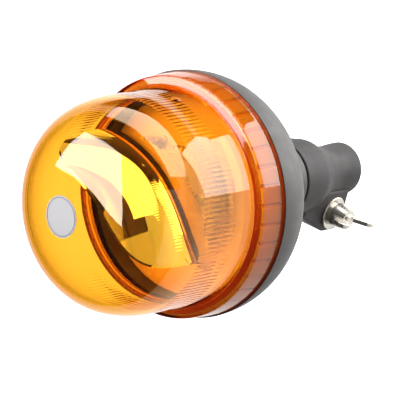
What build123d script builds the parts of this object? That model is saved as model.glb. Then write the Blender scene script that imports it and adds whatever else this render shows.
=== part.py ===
from build123d import *
import math
import os

# Rotating beacon on a rubber pole mount. Millimetres, +Z up along the turning axis.
# The origin is the centre of the pole socket's mouth, and the clamp ears point along -X.

# Pole socket and rubber stem
socket_radius = 12.3
socket_depth = 57.0
stem_end_radius = 16.9
stem_waist_radius = 16.1
stem_tube_length = 26.5
shoulder_length = 26.5
collar_radius = 23.9
shoulder_waist = 3.7
shoulder_swell = 1.1
collar_height = 14.9
collar_step = 0.6
groove_radius = 22.3
groove_width = 2.2
plug_length = 27.9
plug_wall = 4.9
stem_end_straight = 3.0
stem_end_round = 2.2
edge_round = 1.0

# Clamp ears and their bolt
ear_reach = 22.7
ear_height = 20.5
ear_radius = 13.0
ear_half_width = 15.0
ear_round = 2.0
ear_core = 8.0
slit_width = 2.0
slit_top = 44.0
bolt_radius = 4.0
bolt_end = 14.6
bolt_chamfer = 0.8
head_across_flats = 13.0
head_height = 5.3
washer_radius = 10.8
washer_thickness = 1.6
spring_washer_radius = 7.3
spring_washer_thickness = 2.0
spring_washer_split = 1.0
nut_base_radius = 8.0
nut_height = 9.5
nut_draft = 9.0
wing_tip_radius = 5.2
wing_half_span = 19.5
wing_height = 19.5
wing_thickness = 3.0
wing_rest_angle = 6.0
wing_root = 1.2

# Housing bowl
neck_radius = 24.5
neck_length = 29.9
neck_bore = 18.6
bowl_radius = 71.8
bowl_depth = 55.2
bowl_exponent = 2.15
bowl_wall = 3.0
floor_edge = 3.0
core_flange_edge = 5.0
core_flange_thickness = 2.0
core_wall = 2.4
core_screw_angle = 60.0
lip_width = 0.9
lip_height = 1.4
shelf_edge = 3.4
shelf_thickness = 3.0
shelf_root = 1.5
collar_ring_wall = 2.2
hook_reach = 1.6
collar_ring_height = 12.5
boss_radius = 4.0
boss_depth = 8.0
hole_end_room = 0.5

# Dome
skirt_inset = 0.8
skirt_draft = 1.5
skirt_wall = 2.5
skirt_height = 16.5
shoulder_rise = 1.0
shoulder_width = 5.7
dome_draft = 2.2
dome_side_height = 20.5
dome_crown_height = 55.7
dome_exponent = 3.1
dome_wall = 2.6
skirt_rib_count = 40
skirt_rib_width = 1.4
skirt_rib_depth = 0.9
skirt_rib_start = 1.0
lug_count = 3
lug_arc = 15.0
lug_height = 2.4
lug_rise = 1.5
hook_arc = 15.0
hook_height = 2.4
disc_radius = 11.5
disc_thickness = 0.3
disc_place = (-4.1, 6.4)

# Chassis, lamp and turntable
gasket_width = 3.0
gasket_height = 1.6
gasket_chamfer = 0.4
plate_thickness = 2.0
plate_screw_edge = 3.3
screw_radius = 1.5
screw_head_radius = 2.8
screw_head_height = 1.8
screw_length = 9.0
screw_head_round = 0.6
tower_radius = 13.0
tower_bore = 8.0
tower_flange_radius = 19.0
tower_flange_thickness = 2.5
tower_spigot = 2.0
ring_thickness = 1.0
ring_depth = 1.0
ring_overhang = 1.8
ring_opening = 7.0
focus_height = 46.0
lamp_reference = 25.0
holder_thickness = 3.0
lamp_cap_radius = 7.0
lamp_cap_length = 12.0
lamp_flange_radius = 9.5
lamp_flange_thickness = 0.8
lamp_neck_radius = 5.8
lamp_neck_height = 5.0
glass_radius = 4.5
glass_wall = 0.8
glass_overshoot = 10.0
filament_length = 5.0
filament_radius = 1.0
filament_wire = 0.2
filament_post = 0.3
filament_post_offset = 2.4
clip_overhang = 2.5
clip_half_width = 7.5
clip_thickness = 0.5
bush_wall = 2.4
bush_height = 12.5
gear_module = 1.0
gear_teeth = 56
pinion_teeth = 14
gear_face = 6.0
gear_lift = 2.0
gear_rim = 3.0
web_thickness = 3.0
web_hole_edge = 0.6
hub_wall = 2.6
hub_height = 10.5
tooth_backlash = 0.16
motor_angle = 60.0
motor_radius = 12.5
motor_length = 27.0
motor_boss_radius = 4.0
motor_boss_height = 2.6
motor_shaft_radius = 1.5
motor_shaft_depth = 8.0
motor_screw_spacing = 16.0
motor_screw_depth = 4.5
motor_cap_edge = 1.5
motor_cap_thickness = 2.0
tag_spacing = 12.0
tag_width = 3.0
tag_thickness = 0.8
tag_length = 4.0
pinion_overhang = 0.8
capacitor_place = (-33.0, -12.0)
capacitor_turn = 20.0
capacitor_width = 15.0
capacitor_thickness = 7.0
capacitor_height = 12.0
choke_place = (-20.0, -30.0)
choke_radius = 5.0
choke_height = 16.0
suppressor_round = 0.8

# Mirror
mirror_angle = 152.0
mirror_focus = 28.0
mirror_reach = 60.0
mirror_wall = 1.2
mirror_bottom = 24.0
mirror_side_gap = 10.0
mirror_crown_gap = 4.0
pedestal_radius = 26.0
pedestal_wall = 4.0
pedestal_arc = 70.0
pedestal_foot_thickness = 2.0
pedestal_foot_edge = 0.5
pedestal_screw_gap = 11.0
pedestal_foot_end = 10.0
pedestal_screw_length = 4.0

# Contacts
carrier_height = 14.0
contact_recess = 5.0
contact_recess_radius = 9.0
contact_radius = 4.0
contact_tip = 4.5
contact_flange_radius = 5.6
contact_flange = 1.5
contact_tail_radius = 2.3
contact_tail_end = 2.0
chamber_radius = 6.0
chamber_floor = 2.0
terminal_edge = 3.0
spring_coil_radius = 4.0
spring_wire = 0.45
spring_turns = 5.0
terminal_thickness = 1.0
strip_width = 6.0
strip_thickness = 0.8
strip_bottom = 34.0
strip_recess = 0.15

# Clearances
running = 0.05
loose = 0.3
seat_gap = 0.1

# Radii worked out from the bowl inwards
skirt_radius = bowl_radius - skirt_inset
skirt_top_radius = skirt_radius - skirt_draft
dome_foot_radius = skirt_top_radius - shoulder_width
dome_radius = dome_foot_radius - dome_draft
hook_outer = skirt_top_radius - skirt_wall - skirt_rib_depth - loose
ring_outer = hook_outer - hook_reach
collar_ring_inner = ring_outer - collar_ring_wall
plate_radius = collar_ring_inner - loose
plate_screw_circle = plate_radius - plate_screw_edge
shelf_inner_radius = plate_screw_circle - shelf_edge
core_screw_circle = (neck_bore + neck_radius) / 2
core_flange_radius = core_screw_circle + core_flange_edge
floor_radius = core_flange_radius + floor_edge
pedestal_screw_angle = pedestal_arc / 2 + pedestal_screw_gap
pedestal_foot_arc = 2 * (pedestal_screw_angle + pedestal_foot_end)

# Levels worked out from the sizes above
collar_z = stem_tube_length + shoulder_length
groove_z = collar_z + collar_height
neck_z = groove_z + groove_width
bowl_z = neck_z + neck_length
lip_z = bowl_z + bowl_depth
rim_z = lip_z + loose
shoulder_z = rim_z + skirt_height + shoulder_rise
side_z = shoulder_z + dome_side_height
crown_z = side_z + dome_crown_height
gasket_z = rim_z - seat_gap - gasket_height
shelf_z = gasket_z - lip_height
plate_top_z = shelf_z + plate_thickness
tower_foot_z = plate_top_z + tower_flange_thickness
focus_z = rim_z + focus_height
lamp_z = focus_z - lamp_reference
tower_top_z = lamp_z - holder_thickness
bush_z = tower_foot_z + loose
gear_z = bush_z + gear_lift
gear_top_z = gear_z + gear_face
plug_top_z = neck_z + plug_length
contact_z = socket_depth + contact_recess
carrier_top_z = contact_z + carrier_height


def superellipse(radius, height, exponent, end_radius=0.0, steps=12):
    """Points of a quarter superellipse, from the widest place to end_radius."""
    last = math.acos((end_radius / radius) ** (exponent / 2))
    points = []
    for step in range(steps + 1):
        angle = last * step / steps
        across = radius * max(math.cos(angle), 0.0) ** (2 / exponent)
        up = height * math.sin(angle) ** (2 / exponent)
        points.append((across, up))
    return points


def raised(points, level):
    """The same points, lifted to a level."""
    return [(across, level + up) for across, up in points]


def ring_sector(inner, outer, bottom, top, arc):
    """A block between two radii and two levels, over an arc centred on +X."""
    with BuildPart(mode=Mode.PRIVATE) as sector:
        with BuildSketch(Plane.XZ):
            with Locations(((inner + outer) / 2, (bottom + top) / 2)):
                Rectangle(outer - inner, top - bottom)
        revolve(axis=Axis.Z, revolution_arc=arc)
    return Rot(0, 0, -arc / 2) * sector.part


def ring_points(radius, count, start=0.0):
    """Centres of count places, evenly spaced on a circle."""
    angles = [math.radians(start + 360 * index / count) for index in range(count)]
    return [(radius * math.cos(angle), radius * math.sin(angle)) for angle in angles]


def pan_screws(points, top_level, length):
    """Pan-head screws standing at points, with their heads seated on top_level."""
    with BuildPart(mode=Mode.PRIVATE) as screws:
        with BuildSketch(Plane.XY.offset(top_level)):
            with Locations(*points):
                Circle(screw_head_radius)
        extrude(amount=screw_head_height)
        fillet(screws.faces().sort_by(Axis.Z)[-len(points):].edges(), radius=screw_head_round)
        with BuildSketch(Plane.XY.offset(top_level)):
            with Locations(*points):
                Circle(screw_radius)
        extrude(amount=-length)
    return screws.part


def involute(angle):
    """Involute of an angle in radians."""
    return math.tan(angle) - angle


def gear_outline(teeth, first_tooth):
    """Outline of a spur gear, with one tooth centred on first_tooth degrees."""
    pressure = math.radians(20)
    pitch = gear_module * teeth / 2
    base = pitch * math.cos(pressure)
    root = pitch - 1.25 * gear_module
    tip = pitch + 0.9 * gear_module
    half_tooth = math.pi / (2 * teeth) - tooth_backlash / (4 * pitch)
    radii = [max(root, base), pitch, tip]
    flank = []
    for radius in radii:
        lean = involute(math.acos(min(base / radius, 1.0)))
        flank.append((radius, half_tooth + involute(pressure) - lean))
    flank.insert(0, (root, flank[0][1] + 0.01))
    points = []
    for tooth in range(teeth):
        centre = math.radians(first_tooth) + 2 * math.pi * tooth / teeth
        for radius, half in flank:
            points.append((radius * math.cos(centre - half), radius * math.sin(centre - half)))
        for radius, half in reversed(flank):
            points.append((radius * math.cos(centre + half), radius * math.sin(centre + half)))
    return points


# Rubber stem: socket tube, shoulder, collar, plug and clamp ears
plug_radius = neck_bore - loose
pocket_radius = plug_radius - plug_wall
ear_tip_x = -ear_reach - ear_radius
ear_bottom_z = ear_height - ear_radius
with BuildPart() as ear_block:
    with BuildSketch(Plane.XZ) as ear_side:
        with BuildLine():
            Polyline(
                (-ear_core, collar_z - edge_round),
                (-collar_radius + edge_round, collar_z - edge_round),
                (ear_tip_x, ear_height + ear_radius * 0.4),
                (ear_tip_x, ear_bottom_z),
                (-ear_core, ear_bottom_z - edge_round),
                close=True,
            )
        make_face()
        tip_corners = ear_side.vertices().group_by(Axis.X)[0].sort_by(Axis.Y)
        fillet(tip_corners, radius=ear_radius * 0.62)
    extrude(amount=ear_half_width, both=True)
    fillet(ear_block.faces().filter_by(Axis.Y).edges(), radius=ear_round)

strip_x = socket_radius + strip_recess
with BuildPart() as stem:
    with BuildSketch(Plane.XZ):
        with BuildLine():
            Polyline((socket_radius, 0), (stem_end_radius, 0), (stem_end_radius, stem_end_straight))
            Spline(
                (stem_end_radius, stem_end_straight),
                (stem_waist_radius, stem_tube_length * 0.6),
                (stem_waist_radius + 0.4, stem_tube_length),
                (collar_radius - shoulder_waist, stem_tube_length + shoulder_length * 0.45),
                (collar_radius - shoulder_swell, stem_tube_length + shoulder_length * 0.7),
                (collar_radius - collar_step, collar_z),
                tangents=[(0, 1), (0.1, 1)],
            )
            Polyline(
                (collar_radius - collar_step, collar_z),
                (collar_radius, collar_z),
                (collar_radius, groove_z),
                (groove_radius, groove_z),
                (groove_radius, neck_z),
                (plug_radius, neck_z),
                (plug_radius, plug_top_z),
                (pocket_radius, plug_top_z),
                (pocket_radius, socket_depth),
                (socket_radius, socket_depth),
                (socket_radius, 0),
            )
        make_face()
    revolve(axis=Axis.Z)
    end_edge = stem.edges().filter_by(GeomType.CIRCLE).group_by(Axis.Z)[0].sort_by(SortBy.RADIUS)[-1]
    fillet(end_edge, radius=stem_end_round)
    collar_edge = stem.edges().filter_by(GeomType.CIRCLE).filter_by_position(Axis.Z, groove_z, groove_z)
    fillet(collar_edge.sort_by(SortBy.RADIUS)[-1], radius=edge_round)
    add(ear_block.part)
    with BuildSketch():
        Circle(socket_radius)
    extrude(amount=socket_depth, mode=Mode.SUBTRACT)
    with BuildSketch(Plane.XY.offset(socket_depth)):
        Circle(pocket_radius)
    extrude(amount=plug_top_z - socket_depth, mode=Mode.SUBTRACT)
    with BuildSketch(Plane.XZ):
        with Locations((-ear_reach - ear_core, slit_top / 2 - 1.0)):
            Rectangle(2 * ear_reach, slit_top + 2.0)
    extrude(amount=slit_width / 2, both=True, mode=Mode.SUBTRACT)
    with BuildSketch(Plane.XZ):
        with Locations((-ear_reach, ear_height)):
            Circle(bolt_radius + loose)
    extrude(amount=ear_half_width + 1, both=True, mode=Mode.SUBTRACT)
    with BuildSketch(Plane.XY.offset(strip_bottom - seat_gap)):
        with Locations((strip_x + strip_thickness / 2, 0)):
            Rectangle(3 * strip_thickness + 2 * seat_gap, strip_width + 2 * seat_gap)
    extrude(amount=carrier_top_z - strip_bottom + seat_gap, mode=Mode.SUBTRACT)

# Contact carrier: an insulating plug with a chamber for the centre contact
with BuildPart() as contact_carrier:
    with BuildSketch(Plane.XY.offset(socket_depth)):
        Circle(pocket_radius - seat_gap)
    extrude(amount=contact_recess + carrier_height)
    with BuildSketch(Plane.XY.offset(socket_depth)):
        Circle(contact_recess_radius)
    extrude(amount=contact_recess, mode=Mode.SUBTRACT)
    with BuildSketch(Plane.XY.offset(contact_z)):
        Circle(contact_radius + running)
    extrude(amount=carrier_height, mode=Mode.SUBTRACT)
    with BuildSketch(Plane.XY.offset(contact_z + chamber_floor)):
        Circle(chamber_radius)
    extrude(amount=carrier_height, mode=Mode.SUBTRACT)
    with BuildSketch(Plane.XY.offset(socket_depth)):
        with Locations((strip_x + strip_thickness, 0)):
            Rectangle(2 * strip_thickness + 2 * seat_gap, strip_width + 2 * seat_gap)
    extrude(amount=contact_recess + carrier_height, mode=Mode.SUBTRACT)

with BuildPart() as terminal_plate:
    with BuildSketch(Plane.XY.offset(carrier_top_z)):
        Circle(chamber_radius + terminal_edge)
        Circle(contact_tail_radius + running, mode=Mode.SUBTRACT)
    extrude(amount=terminal_thickness)

with BuildPart() as earth_strip:
    with BuildSketch(Plane.XY.offset(strip_bottom)):
        with Locations((strip_x + strip_thickness / 2, 0)):
            Rectangle(strip_thickness, strip_width)
    extrude(amount=carrier_top_z - strip_bottom)
    fillet(earth_strip.faces().sort_by(Axis.Z)[0].edges().filter_by(Axis.Y), radius=strip_thickness * 0.4)

# Centre contact: a turned plunger whose flange rests on the chamber's floor
flange_z = contact_z + chamber_floor + running
contact_top_z = carrier_top_z + terminal_thickness + contact_tail_end
with BuildPart() as centre_contact:
    with BuildSketch(Plane.XZ):
        with BuildLine():
            tip = ThreePointArc(
                (0, contact_z - contact_tip),
                (contact_radius * 0.7, contact_z - contact_tip + 0.9),
                (contact_radius, contact_z - contact_tip + 2.6),
            )
            Polyline(
                tip @ 1,
                (contact_radius, flange_z),
                (contact_flange_radius, flange_z),
                (contact_flange_radius, flange_z + contact_flange),
                (contact_tail_radius, flange_z + contact_flange),
                (contact_tail_radius, contact_top_z),
                (0, contact_top_z),
                tip @ 0,
            )
        make_face()
    revolve(axis=Axis.Z)

spring_z = flange_z + contact_flange + spring_wire
spring_height = carrier_top_z - spring_z - spring_wire
with BuildPart() as contact_spring:
    with BuildLine():
        coil = Helix(spring_height / spring_turns, spring_height, spring_coil_radius, center=(0, 0, spring_z))
    with BuildSketch(Plane(origin=coil @ 0, z_dir=coil % 0)):
        Circle(spring_wire)
    sweep(is_frenet=True)

# Housing: bowl, neck, shelf for the chassis and collar ring with bayonet hooks
outer_bowl = superellipse(bowl_radius, -bowl_depth, bowl_exponent, neck_radius)
inner_radius = bowl_radius - bowl_wall
inner_depth = gasket_z - bowl_z - bowl_wall
inner_bowl = superellipse(inner_radius, -inner_depth, bowl_exponent, floor_radius)
floor_z = gasket_z + inner_bowl[-1][1]
shelf_bottom_z = shelf_z - shelf_thickness
ring_top_z = shelf_z + collar_ring_height
lug_z = rim_z + lug_rise
hook_z = lug_z + lug_height + loose
with BuildPart() as base_housing:
    with BuildSketch(Plane.XZ):
        with BuildLine():
            Spline(*raised(outer_bowl, lip_z))
            Polyline(
                (neck_radius, lip_z + outer_bowl[-1][1]),
                (neck_radius, neck_z),
                (neck_bore, neck_z),
                (neck_bore, floor_z),
                (floor_radius, floor_z),
            )
            Spline(*raised(inner_bowl, gasket_z))
            Polyline(
                (inner_radius, gasket_z),
                (bowl_radius - lip_width, gasket_z),
                (bowl_radius - lip_width, lip_z),
                (bowl_radius, lip_z),
            )
        make_face()
    revolve(axis=Axis.Z)
    with BuildSketch(Plane.XZ):
        with BuildLine():
            Polyline(
                (shelf_inner_radius, shelf_bottom_z),
                (bowl_radius - shelf_root, shelf_bottom_z),
                (bowl_radius - shelf_root, gasket_z),
                (ring_outer, gasket_z),
                (ring_outer, ring_top_z),
                (collar_ring_inner, ring_top_z),
                (collar_ring_inner, shelf_z),
                (shelf_inner_radius, shelf_z),
                close=True,
            )
        make_face()
    revolve(axis=Axis.Z)
    neck_edge = base_housing.edges().filter_by(GeomType.CIRCLE).group_by(Axis.Z)[0]
    fillet(neck_edge.sort_by(SortBy.RADIUS)[-1], radius=edge_round)
    with BuildSketch(Plane.XY.offset(shelf_bottom_z)):
        with PolarLocations(plate_screw_circle, 3):
            Circle(boss_radius)
    extrude(amount=-boss_depth)
    with BuildSketch(Plane.XY.offset(shelf_z)):
        with PolarLocations(plate_screw_circle, 3):
            Circle(screw_radius + seat_gap)
    extrude(amount=-screw_length - hole_end_room, mode=Mode.SUBTRACT)
    with BuildSketch(Plane.XY.offset(floor_z)):
        with PolarLocations(core_screw_circle, 3, start_angle=core_screw_angle):
            Circle(screw_radius + seat_gap)
    extrude(amount=core_flange_thickness - screw_length - hole_end_room, mode=Mode.SUBTRACT)
    with PolarLocations(0, lug_count):
        add(ring_sector(ring_outer - 0.5, hook_outer, hook_z, hook_z + hook_height, hook_arc))

# Flanged steel tube that clamps the rubber plug in the neck
with BuildPart() as stem_core:
    with BuildSketch(Plane.XZ):
        with BuildLine():
            Polyline(
                (pocket_radius - seat_gap - core_wall, carrier_top_z + terminal_thickness),
                (pocket_radius - seat_gap, carrier_top_z + terminal_thickness),
                (pocket_radius - seat_gap, floor_z),
                (core_flange_radius, floor_z),
                (core_flange_radius, floor_z + core_flange_thickness),
                (pocket_radius - seat_gap - core_wall, floor_z + core_flange_thickness),
                close=True,
            )
        make_face()
    revolve(axis=Axis.Z)
    with BuildSketch(Plane.XY.offset(floor_z)):
        with PolarLocations(core_screw_circle, 3, start_angle=core_screw_angle):
            Circle(screw_radius + seat_gap)
    extrude(amount=core_flange_thickness, mode=Mode.SUBTRACT)

# Gasket between housing and dome
with BuildPart() as lens_gasket:
    with BuildSketch(Plane.XY.offset(gasket_z)):
        Circle(bowl_radius - lip_width - loose)
        Circle(bowl_radius - lip_width - loose - gasket_width, mode=Mode.SUBTRACT)
    extrude(amount=gasket_height)
    chamfer(lens_gasket.faces().sort_by(Axis.Z)[-1].edges(), length=gasket_chamfer)

# Chassis plate
motor_distance = gear_module * (gear_teeth + pinion_teeth) / 2
motor_x = motor_distance * math.cos(math.radians(motor_angle))
motor_y = motor_distance * math.sin(math.radians(motor_angle))
with BuildPart() as chassis_plate:
    with BuildSketch(Plane.XY.offset(shelf_z)):
        Circle(plate_radius)
        Circle(tower_bore + tower_spigot, mode=Mode.SUBTRACT)
        with PolarLocations(plate_screw_circle, 3):
            Circle(screw_radius + loose, mode=Mode.SUBTRACT)
        with Locations(Location((motor_x, motor_y, 0), (0, 0, motor_angle))):
            Circle(motor_boss_radius + seat_gap, mode=Mode.SUBTRACT)
            with GridLocations(0, motor_screw_spacing, 1, 2):
                Circle(screw_radius + seat_gap, mode=Mode.SUBTRACT)
    extrude(amount=plate_thickness)

with BuildPart() as chassis_screws:
    add(pan_screws(ring_points(plate_screw_circle, 3), plate_top_z, screw_length))

core_screw_points = ring_points(core_screw_circle, 3, core_screw_angle)
with BuildPart() as core_screws:
    add(pan_screws(core_screw_points, floor_z + core_flange_thickness, screw_length))

# Lamp tower, with a groove for the ring that keeps the turntable down
ring_z = bush_z + bush_height + loose
with BuildPart() as lamp_tower:
    with BuildSketch(Plane.XZ):
        with BuildLine():
            Polyline(
                (tower_bore, shelf_z),
                (tower_bore + tower_spigot - seat_gap, shelf_z),
                (tower_bore + tower_spigot - seat_gap, plate_top_z),
                (tower_flange_radius, plate_top_z),
                (tower_flange_radius, tower_foot_z),
                (tower_radius, tower_foot_z),
                (tower_radius, ring_z),
                (tower_radius - ring_depth, ring_z),
                (tower_radius - ring_depth, ring_z + ring_thickness + seat_gap),
                (tower_radius, ring_z + ring_thickness + seat_gap),
                (tower_radius, tower_top_z),
                (tower_bore, tower_top_z),
                close=True,
            )
        make_face()
    revolve(axis=Axis.Z)

with BuildPart() as retaining_ring:
    with BuildSketch(Plane.XY.offset(ring_z)):
        Circle(tower_radius + ring_overhang)
        Circle(tower_radius - ring_depth + seat_gap, mode=Mode.SUBTRACT)
        with Locations((0, tower_radius)):
            Rectangle(ring_opening, tower_radius, mode=Mode.SUBTRACT)
    extrude(amount=ring_thickness)

# Lamp holder, retaining spring and halogen lamp
with BuildPart() as lamp_holder:
    with BuildSketch(Plane.XY.offset(tower_top_z)):
        Circle(tower_radius)
        Circle(lamp_cap_radius + seat_gap, mode=Mode.SUBTRACT)
    extrude(amount=holder_thickness)
    chamfer(lamp_holder.faces().sort_by(Axis.Z)[-1].edges().sort_by(SortBy.RADIUS)[-1], length=0.5)

with BuildPart() as bulb_base:
    with BuildSketch(Plane.XZ):
        with BuildLine():
            Polyline(
                (0, lamp_z - lamp_cap_length),
                (lamp_cap_radius, lamp_z - lamp_cap_length),
                (lamp_cap_radius, lamp_z),
                (lamp_flange_radius, lamp_z),
                (lamp_flange_radius, lamp_z + lamp_flange_thickness),
                (lamp_neck_radius, lamp_z + lamp_flange_thickness),
                (lamp_neck_radius, lamp_z + lamp_neck_height),
                (glass_radius + seat_gap, lamp_z + lamp_neck_height),
                (glass_radius + seat_gap, lamp_z + lamp_neck_height / 2),
                (0, lamp_z + lamp_neck_height / 2),
                close=True,
            )
        make_face()
    revolve(axis=Axis.Z)

clip_z = lamp_z + lamp_flange_thickness
clip_radius = lamp_flange_radius + clip_overhang
with BuildPart() as lamp_clip:
    with BuildSketch(Plane.XY.offset(lamp_z)):
        Circle(clip_radius)
        Rectangle(2 * clip_half_width, 2 * clip_radius, mode=Mode.INTERSECT)
    extrude(amount=lamp_flange_thickness + clip_thickness)
    with BuildSketch(Plane.XY.offset(lamp_z)):
        Circle(lamp_flange_radius + seat_gap)
    extrude(amount=lamp_flange_thickness, mode=Mode.SUBTRACT)
    with BuildSketch(Plane.XY.offset(clip_z)):
        Circle(lamp_neck_radius + seat_gap)
    extrude(amount=clip_thickness, mode=Mode.SUBTRACT)

glass_foot_z = lamp_z + lamp_neck_height / 2
glass_side_z = focus_z + glass_overshoot - glass_radius
with BuildPart() as bulb_glass:
    with BuildSketch(Plane.XZ):
        with BuildLine():
            Polyline((0, glass_foot_z), (glass_radius, glass_foot_z), (glass_radius, glass_side_z))
            RadiusArc((glass_radius, glass_side_z), (0, glass_side_z + glass_radius), -glass_radius)
            Polyline((0, glass_side_z + glass_radius), (0, glass_side_z + glass_radius - glass_wall))
            RadiusArc(
                (0, glass_side_z + glass_radius - glass_wall),
                (glass_radius - glass_wall, glass_side_z),
                glass_radius - glass_wall,
            )
            Polyline(
                (glass_radius - glass_wall, glass_side_z),
                (glass_radius - glass_wall, glass_foot_z + glass_wall),
                (0, glass_foot_z + glass_wall),
                (0, glass_foot_z),
            )
        make_face()
    revolve(axis=Axis.Z)

filament_z = focus_z - filament_length / 2
filament_top_z = focus_z + filament_length / 2
post_z = glass_foot_z + glass_wall
with BuildPart() as bulb_filament:
    with BuildLine():
        filament_coil = Helix(filament_length / 5, filament_length, filament_radius, center=(0, 0, filament_z))
    with BuildSketch(Plane(origin=filament_coil @ 0, z_dir=filament_coil % 0)):
        Circle(filament_wire)
    sweep(is_frenet=True)
    with BuildSketch(Plane.XY.offset(post_z)):
        with Locations((filament_radius, 0)):
            Circle(filament_post)
    extrude(amount=filament_z - post_z)
    with BuildSketch(Plane.XY.offset(post_z)):
        with Locations((-filament_post_offset, 0)):
            Circle(filament_post)
    extrude(amount=filament_top_z + filament_post - post_z)
    with BuildSketch(Plane.XY.offset(filament_top_z)):
        with Locations(((filament_radius - filament_post_offset) / 2, 0)):
            Rectangle(filament_radius + filament_post_offset, 2 * filament_wire)
    extrude(amount=2 * filament_wire)

# Turntable: bush, drive gear, mirror pedestal and mirror
bush_inner = tower_radius + running
bush_outer = bush_inner + bush_wall
with BuildPart() as rotor_bush:
    with BuildSketch(Plane.XY.offset(bush_z)):
        Circle(bush_outer)
        Circle(bush_inner, mode=Mode.SUBTRACT)
    extrude(amount=bush_height)

hub_radius = bush_outer + hub_wall
gear_root = gear_module * (gear_teeth / 2 - 1.25)
rim_inner = gear_root - gear_rim
with BuildPart() as drive_gear:
    with BuildSketch(Plane.XY.offset(gear_z)):
        Polygon(*gear_outline(gear_teeth, motor_angle), align=None)
    extrude(amount=gear_face)
    with BuildSketch(Plane.XY.offset(gear_z)):
        Circle(rim_inner)
    extrude(amount=gear_face - web_thickness, mode=Mode.SUBTRACT)
    with BuildSketch(Plane.XY.offset(gear_z)):
        Circle(hub_radius)
    extrude(amount=hub_height)
    with BuildSketch(Plane.XY.offset(gear_z)):
        Circle(bush_outer)
    extrude(amount=hub_height, mode=Mode.SUBTRACT)
    with BuildSketch(Plane.XY.offset(gear_z)):
        with Locations(*ring_points((hub_radius + rim_inner) / 2, 2, mirror_angle + 90)):
            Circle((rim_inner - hub_radius) / 2 - web_hole_edge)
    extrude(amount=gear_face, mode=Mode.SUBTRACT)

mirror_bottom_z = rim_z + mirror_bottom
back_angle = mirror_angle + 180
foot_top_z = gear_top_z + pedestal_foot_thickness
pedestal_screw_circle = (hub_radius + gear_root) / 2
pedestal_screw_points = [
    (pedestal_screw_circle * math.cos(math.radians(back_angle + side)),
     pedestal_screw_circle * math.sin(math.radians(back_angle + side)))
    for side in (-pedestal_screw_angle, pedestal_screw_angle)
]
with BuildPart() as mirror_pedestal:
    add(Rot(0, 0, back_angle) * ring_sector(
        hub_radius + loose, gear_root - pedestal_foot_edge, gear_top_z, foot_top_z, pedestal_foot_arc))
    add(Rot(0, 0, back_angle) * ring_sector(
        pedestal_radius - pedestal_wall, pedestal_radius, gear_top_z, mirror_bottom_z, pedestal_arc))

with BuildPart() as pedestal_screws:
    add(pan_screws(pedestal_screw_points, foot_top_z, pedestal_screw_length))

for cut_piece, cut_radius in ((mirror_pedestal, screw_radius + seat_gap), (drive_gear, screw_radius)):
    with cut_piece:
        with BuildSketch(Plane.XY.offset(foot_top_z)):
            with Locations(*pedestal_screw_points):
                Circle(cut_radius)
        extrude(amount=-pedestal_screw_length - hole_end_room, mode=Mode.SUBTRACT)

mirror_cos = math.cos(math.radians(mirror_angle))
mirror_sin = math.sin(math.radians(mirror_angle))
mirror_plane = Plane(origin=(0, 0, focus_z), x_dir=(mirror_cos, mirror_sin, 0), z_dir=(mirror_sin, -mirror_cos, 0))
mirror_depth = mirror_reach ** 2 / (4 * mirror_focus)
sweep_radius = dome_radius - dome_wall - mirror_side_gap
sweep_crown = dome_crown_height - dome_wall - mirror_crown_gap
with BuildPart() as sweep_room:
    with BuildSketch(Plane.XZ):
        with BuildLine():
            Polyline((0, mirror_bottom_z), (sweep_radius, mirror_bottom_z), (sweep_radius, side_z))
            Spline(*raised(superellipse(sweep_radius, sweep_crown, dome_exponent), side_z),
                   tangents=[(0, 1), (-1, 0)])
            Line((0, side_z + sweep_crown), (0, mirror_bottom_z))
        make_face()
    revolve(axis=Axis.Z)
with BuildPart() as reflector:
    with BuildSketch(mirror_plane):
        with BuildLine():
            front = Bezier(
                (-mirror_focus, 0),
                (-mirror_focus, mirror_reach / 2),
                (mirror_depth - mirror_focus, mirror_reach),
            )
            back = Bezier(
                (-mirror_focus - mirror_wall, 0),
                (-mirror_focus - mirror_wall, mirror_reach / 2),
                (mirror_depth - mirror_focus - mirror_wall, mirror_reach),
            )
            Line(front @ 0, back @ 0)
            Line(front @ 1, back @ 1)
        make_face()
    revolve(axis=Axis((0, 0, focus_z), (mirror_cos, mirror_sin, 0)))
    add(sweep_room.part, mode=Mode.INTERSECT)

# Motor under the plate, its shaft and the pinion in mesh with the drive gear
motor_top_z = shelf_z
motor_spot = (motor_x, motor_y)
shaft_top_z = gear_top_z - loose
shaft_bottom_z = motor_top_z - motor_shaft_depth
boss_top_z = motor_top_z + motor_boss_height
motor_screw_points = [
    (motor_x - side * motor_screw_spacing / 2 * math.sin(math.radians(motor_angle)),
     motor_y + side * motor_screw_spacing / 2 * math.cos(math.radians(motor_angle)))
    for side in (-1, 1)
]
with BuildPart() as motor_can:
    with BuildSketch(Plane.XY.offset(motor_top_z)):
        with Locations(motor_spot):
            Circle(motor_radius)
    extrude(amount=-motor_length)
    fillet(motor_can.edges().filter_by(GeomType.CIRCLE), radius=edge_round)
    with BuildSketch(Plane.XY.offset(motor_top_z)):
        with Locations(motor_spot):
            Circle(motor_boss_radius)
    extrude(amount=motor_boss_height)
    with BuildSketch(Plane.XY.offset(boss_top_z)):
        with Locations(motor_spot):
            Circle(motor_shaft_radius + running)
    extrude(amount=shaft_bottom_z - loose - boss_top_z, mode=Mode.SUBTRACT)
    with BuildSketch(Plane.XY.offset(motor_top_z)):
        with Locations(*motor_screw_points):
            Circle(screw_radius)
    extrude(amount=-motor_screw_depth - hole_end_room, mode=Mode.SUBTRACT)

cap_top_z = motor_top_z - motor_length
with BuildPart() as motor_cap:
    with BuildSketch(Plane.XY.offset(cap_top_z)):
        with Locations(motor_spot):
            Circle(motor_radius - motor_cap_edge)
    extrude(amount=-motor_cap_thickness)
    with BuildSketch(Plane.XY.offset(cap_top_z - motor_cap_thickness)):
        with Locations(Location((motor_x, motor_y, 0), (0, 0, motor_angle))):
            with GridLocations(0, tag_spacing, 1, 2):
                Rectangle(tag_width, tag_thickness)
    extrude(amount=-tag_length)

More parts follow.
